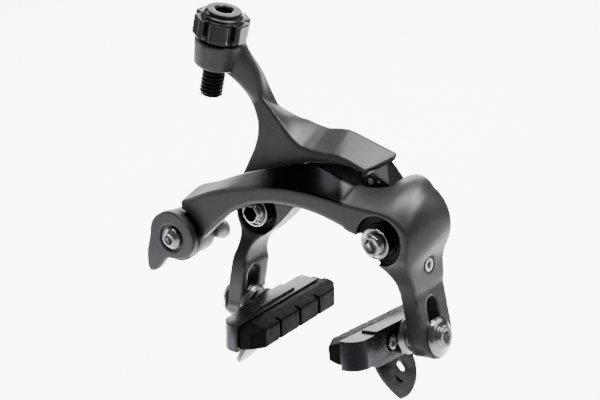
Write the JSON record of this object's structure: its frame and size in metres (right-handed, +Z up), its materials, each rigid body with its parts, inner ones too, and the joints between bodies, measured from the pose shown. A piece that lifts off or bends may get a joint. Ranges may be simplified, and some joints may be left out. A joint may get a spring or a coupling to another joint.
{
  "type": "rim brake caliper",
  "caption": "Direct-mount rim brake caliper for a road bicycle: opposed pivoting arms, slotted shoe mounts, cable release lever and barrel adjuster",
  "frame": {"origin": "midway between the two mounting studs, in the plane where the sleeves meet the fork", "axes": "+Z up, +Y back towards the fork along the studs, +X to the right in a front view"},
  "size_m": [0.1225, 0.0564, 0.14],
  "materials": {
    "front_arm_paint": "satin metallic graphite paint",
    "rear_arm_paint": "satin metallic graphite paint",
    "lever_alloy": "matte graphite paint",
    "black_steel": "black oxide",
    "steel": "turned steel",
    "chrome": "bright plated",
    "zinc_plate": "zinc plated",
    "spring_steel": "drawn spring wire",
    "black_plastic": "moulded",
    "adjuster_black": "moulded, semi-gloss",
    "barrel_black": "black anodised",
    "holder_black": "gloss black",
    "pad_rubber": "moulded rubber",
    "guide_plastic": "moulded, semi-gloss"
  },
  "bodies": {
    "fork_hardware": {"pivot_bolt_right": "chrome", "pivot_bolt_left": "chrome", "pivot_collar_right": "chrome", "pivot_collar_left": "chrome", "pivot_sleeve_right": "black_steel", "pivot_sleeve_left": "black_steel"},
    "front_arm": {"front_arm": "front_arm_paint", "pivot_bush_right": "black_plastic", "return_spring_right": "spring_steel", "roller_bracket": "black_steel", "link_pin": "steel", "cable_anchor_bolt": "steel", "cable_clamp_plate": "zinc_plate", "cable_clamp_nut": "zinc_plate"},
    "rear_arm": {"rear_arm": "rear_arm_paint", "pivot_bush_left": "black_plastic", "return_spring_left": "spring_steel", "link_pad": "black_plastic"},
    "link_roller": {"link_roller": "steel"},
    "release_lever": {"release_lever": "lever_alloy", "release_cam": "black_plastic"},
    "barrel_adjuster": {"adjuster_cap": "adjuster_black", "adjuster_barrel": "barrel_black"},
    "centering_screw": {"centering_screw": "steel"},
    "shoe_right": {"pad_holder_right": "holder_black", "brake_pad_right": "pad_rubber", "pad_screw_right": "steel", "shoe_stud_right": "steel", "shoe_bolt_right": "steel", "domed_washer_right": "steel", "cup_washer_right": "steel", "outer_washer_right": "chrome", "wheel_guide_right": "guide_plastic"},
    "shoe_left": {"pad_holder_left": "holder_black", "brake_pad_left": "pad_rubber", "pad_screw_left": "steel", "shoe_stud_left": "steel", "shoe_bolt_left": "steel", "domed_washer_left": "steel", "cup_washer_left": "steel", "outer_washer_left": "chrome", "wheel_guide_left": "guide_plastic"}
  },
  "joints": [
    {"name": "front_arm_pivot", "type": "hinge", "parent": "fork_hardware", "child": "front_arm", "pos_m": [0.031, 0, 0], "axis": [0, 1, 0], "range_deg": [0, 9.5], "stiffness_Nm_per_rad": 0.6, "springref_deg": -28.65},
    {"name": "rear_arm_pivot", "type": "hinge", "parent": "fork_hardware", "child": "rear_arm", "pos_m": [-0.031, 0, 0], "axis": [0, 1, 0], "range_deg": [-9.5, 0], "stiffness_Nm_per_rad": 0.6, "springref_deg": 28.65},
    {"name": "link_roller_spin", "type": "hinge", "parent": "front_arm", "child": "link_roller", "pos_m": [0.02099, -0.009, 0.01761], "axis": [0, 1, 0], "continuous": true},
    {"name": "release_lever_turn", "type": "hinge", "parent": "front_arm", "child": "release_lever", "pos_m": [-0.0596, -0.027, -0.0094], "axis": [0, 1, 0], "range_deg": [0, 95]},
    {"name": "barrel_adjuster_turn", "type": "hinge", "parent": "rear_arm", "child": "barrel_adjuster", "pos_m": [-0.03703, -0.021, 0.06434], "axis": [0.289, 0, 0.9573], "continuous": true},
    {"name": "centering_screw_turn", "type": "hinge", "parent": "front_arm", "child": "centering_screw", "pos_m": [0.038, -0.013, -0.011], "axis": [1, 0, 0], "continuous": true},
    {"name": "shoe_right_height", "type": "slide", "parent": "front_arm", "child": "shoe_right", "axis": [-0.1478, 0, 0.989], "range_m": [0, 0.01]},
    {"name": "shoe_left_height", "type": "slide", "parent": "rear_arm", "child": "shoe_left", "axis": [0.1994, 0, 0.9799], "range_m": [0, 0.01]}
  ],
  "couplings": [
    {"joint": "rear_arm_pivot", "follows": "front_arm_pivot", "ratio": -1}
  ]
}
